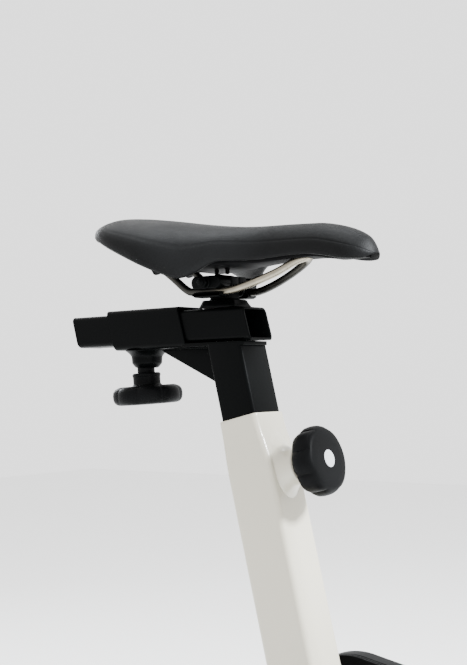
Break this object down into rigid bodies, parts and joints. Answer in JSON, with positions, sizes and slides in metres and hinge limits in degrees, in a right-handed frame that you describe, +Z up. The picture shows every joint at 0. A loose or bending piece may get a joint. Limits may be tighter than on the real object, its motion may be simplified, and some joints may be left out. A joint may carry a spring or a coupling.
{
  "type": "exercise bike",
  "caption": "Indoor exercise bike with a padded saddle that slides, tilts and telescopes, a belt-driven flywheel, a brake knob, pedals and an adjustable handlebar.",
  "frame": {"origin": "on the floor, under the middle of the bounding box", "axes": "+X forward, the way the rider faces; +Y to the rider's left; +Z up"},
  "size_m": [1.0627, 0.5286, 1.0031],
  "materials": {
    "frame_paint": "warm white powder coat, satin",
    "black_steel": "black powder coat, satin",
    "black_plastic": "moulded black plastic, fine grain",
    "bright_steel": "bare or zinc plated steel",
    "cast_iron": "turned cast iron",
    "rubber": "matte black rubber",
    "leatherette": "charcoal leatherette, fine grain",
    "grip_foam": "matte black foam",
    "aluminium": "satin aluminium"
  },
  "bodies": {
    "frame": {"seat_tube": "frame_paint", "head_tube": "frame_paint", "main_beam": "frame_paint", "rear_leg": "frame_paint", "crank_shell": "frame_paint", "fork_left": "frame_paint", "fork_right": "frame_paint", "rear_stabiliser": "frame_paint", "front_stabiliser": "frame_paint", "rear_cap_left": "black_plastic", "rear_cap_right": "black_plastic", "front_cap_left": "black_plastic", "front_cap_right": "black_plastic", "belt_guard_inner": "black_plastic", "belt_guard_outer": "black_plastic", "drive_belt": "rubber"},
    "seat_carriage": {"seat_post": "black_steel", "slide_collar": "black_steel", "gusset": "black_steel"},
    "saddle_slide": {"saddle_bar": "black_steel", "bar_end_cap": "black_plastic", "saddle_mount": "black_steel"},
    "saddle": {"saddle_pad": "leatherette", "saddle_base": "black_plastic", "saddle_rails": "bright_steel", "clamp_jaw_left": "black_steel", "clamp_jaw_right": "black_steel", "clamp_bolt": "bright_steel"},
    "reach_clamp": {"slide_knob": "black_plastic"},
    "height_lock_pin": {"height_pin": "bright_steel"},
    "height_lock_knob": {"height_knob": "black_plastic"},
    "handlebar_assembly": {"handlebar_post": "black_steel", "handlebar": "black_steel", "handlebar_clamp": "black_steel", "grip_left": "grip_foam", "grip_right": "grip_foam"},
    "handlebar_lock_pin": {"handlebar_pin": "bright_steel"},
    "handlebar_lock_knob": {"handlebar_knob": "black_plastic"},
    "flywheel_assembly": {"flywheel": "cast_iron", "flywheel_axle": "bright_steel", "flywheel_pulley": "black_steel"},
    "crankset": {"crank_axle": "bright_steel", "crank_pulley": "black_steel", "crank_left": "aluminium", "crank_right": "aluminium", "pedal_spindle_left": "bright_steel", "pedal_spindle_right": "bright_steel"},
    "left_pedal": {"pedal_left": "black_plastic", "toe_cage_left": "black_steel"},
    "right_pedal": {"pedal_right": "black_plastic", "toe_cage_right": "black_steel"},
    "brake_plunger": {"brake_rod": "bright_steel", "brake_pad": "rubber"},
    "resistance_dial": {"resistance_knob": "black_plastic"},
    "left_transport_wheel": {"transport_wheel_left": "rubber"},
    "right_transport_wheel": {"transport_wheel_right": "rubber"},
    "rear_left_foot": {"rear_foot_left": "rubber"},
    "rear_right_foot": {"rear_foot_right": "rubber"},
    "front_left_foot": {"front_foot_left": "rubber"},
    "front_right_foot": {"front_foot_right": "rubber"}
  },
  "joints": [
    {"name": "adjust_height", "type": "slide", "parent": "frame", "child": "seat_carriage", "axis": [-0.228, 0, 0.9737], "range_m": [-0.02, 0.2]},
    {"name": "adjust_reach", "type": "slide", "parent": "seat_carriage", "child": "saddle_slide", "axis": [1, 0, 0], "range_m": [-0.003, 0.04]},
    {"name": "adjust_tilt", "type": "hinge", "parent": "saddle_slide", "child": "saddle", "pos_m": [-0.21257, 0, 0.76952], "axis": [0, 1, 0], "range_deg": [-10, 10]},
    {"name": "clamp_height_pull", "type": "slide", "parent": "frame", "child": "height_lock_pin", "axis": [0.9737, 0, 0.228], "range_m": [0, 0.008], "stiffness_N_per_m": 900},
    {"name": "clamp_height_turn", "type": "hinge", "parent": "height_lock_pin", "child": "height_lock_knob", "pos_m": [-0.17172, 0, 0.59989], "axis": [0.9737, 0, 0.228], "range_deg": [-360, 360]},
    {"name": "clamp_reach_turn", "type": "hinge", "parent": "seat_carriage", "child": "reach_clamp", "pos_m": [-0.30557, 0, 0.68052], "axis": [0, 0, 1], "range_deg": [-360, 360]},
    {"name": "crank_spin", "type": "hinge", "parent": "frame", "child": "crankset", "pos_m": [-0.1015, 0, 0.3], "axis": [0, 1, 0], "continuous": true},
    {"name": "flywheel_spin", "type": "hinge", "parent": "frame", "child": "flywheel_assembly", "pos_m": [0.3235, 0, 0.31], "axis": [0, 1, 0], "continuous": true},
    {"name": "handlebar_height", "type": "slide", "parent": "frame", "child": "handlebar_assembly", "axis": [-0.1741, 0, 0.9847], "range_m": [-0.025, 0.075]},
    {"name": "handlebar_lock_pull", "type": "slide", "parent": "frame", "child": "handlebar_lock_pin", "axis": [0.9847, 0, 0.1741], "range_m": [0, 0.008], "stiffness_N_per_m": 900},
    {"name": "handlebar_lock_turn", "type": "hinge", "parent": "handlebar_lock_pin", "child": "handlebar_lock_knob", "pos_m": [0.26006, 0, 0.66879], "axis": [0.9847, 0, 0.1741], "range_deg": [-360, 360]},
    {"name": "pedal_left_spin", "type": "hinge", "parent": "crankset", "child": "left_pedal", "pos_m": [-0.2715, 0.14, 0.3], "axis": [0, 1, 0], "continuous": true},
    {"name": "pedal_right_spin", "type": "hinge", "parent": "crankset", "child": "right_pedal", "pos_m": [0.0685, -0.14, 0.3], "axis": [0, 1, 0], "continuous": true},
    {"name": "resistance_press", "type": "slide", "parent": "frame", "child": "brake_plunger", "axis": [-0.6247, 0, 0.7809], "range_m": [-0.0022, 0], "stiffness_N_per_m": 2500},
    {"name": "resistance_turn", "type": "hinge", "parent": "brake_plunger", "child": "resistance_dial", "pos_m": [0.11735, 0, 0.56769], "axis": [-0.6247, 0, 0.7809], "range_deg": [0, 1080]},
    {"name": "wheel_left_spin", "type": "hinge", "parent": "frame", "child": "left_transport_wheel", "pos_m": [0.5065, 0.165, 0.033], "axis": [0, 1, 0], "continuous": true},
    {"name": "wheel_right_spin", "type": "hinge", "parent": "frame", "child": "right_transport_wheel", "pos_m": [0.5065, -0.165, 0.033], "axis": [0, 1, 0], "continuous": true},
    {"name": "foot_rear_left_turn", "type": "hinge", "parent": "frame", "child": "rear_left_foot", "pos_m": [-0.5015, 0.21, 0.01], "axis": [0, 0, 1], "range_deg": [-720, 720]},
    {"name": "foot_rear_right_turn", "type": "hinge", "parent": "frame", "child": "rear_right_foot", "pos_m": [-0.5015, -0.21, 0.01], "axis": [0, 0, 1], "range_deg": [-720, 720]},
    {"name": "foot_front_left_turn", "type": "hinge", "parent": "frame", "child": "front_left_foot", "pos_m": [0.4485, 0.21, 0.01], "axis": [0, 0, 1], "range_deg": [-720, 720]},
    {"name": "foot_front_right_turn", "type": "hinge", "parent": "frame", "child": "front_right_foot", "pos_m": [0.4485, -0.21, 0.01], "axis": [0, 0, 1], "range_deg": [-720, 720]}
  ],
  "couplings": [
    {"joint": "crank_spin", "follows": "flywheel_spin", "ratio": 0.27174}
  ]
}
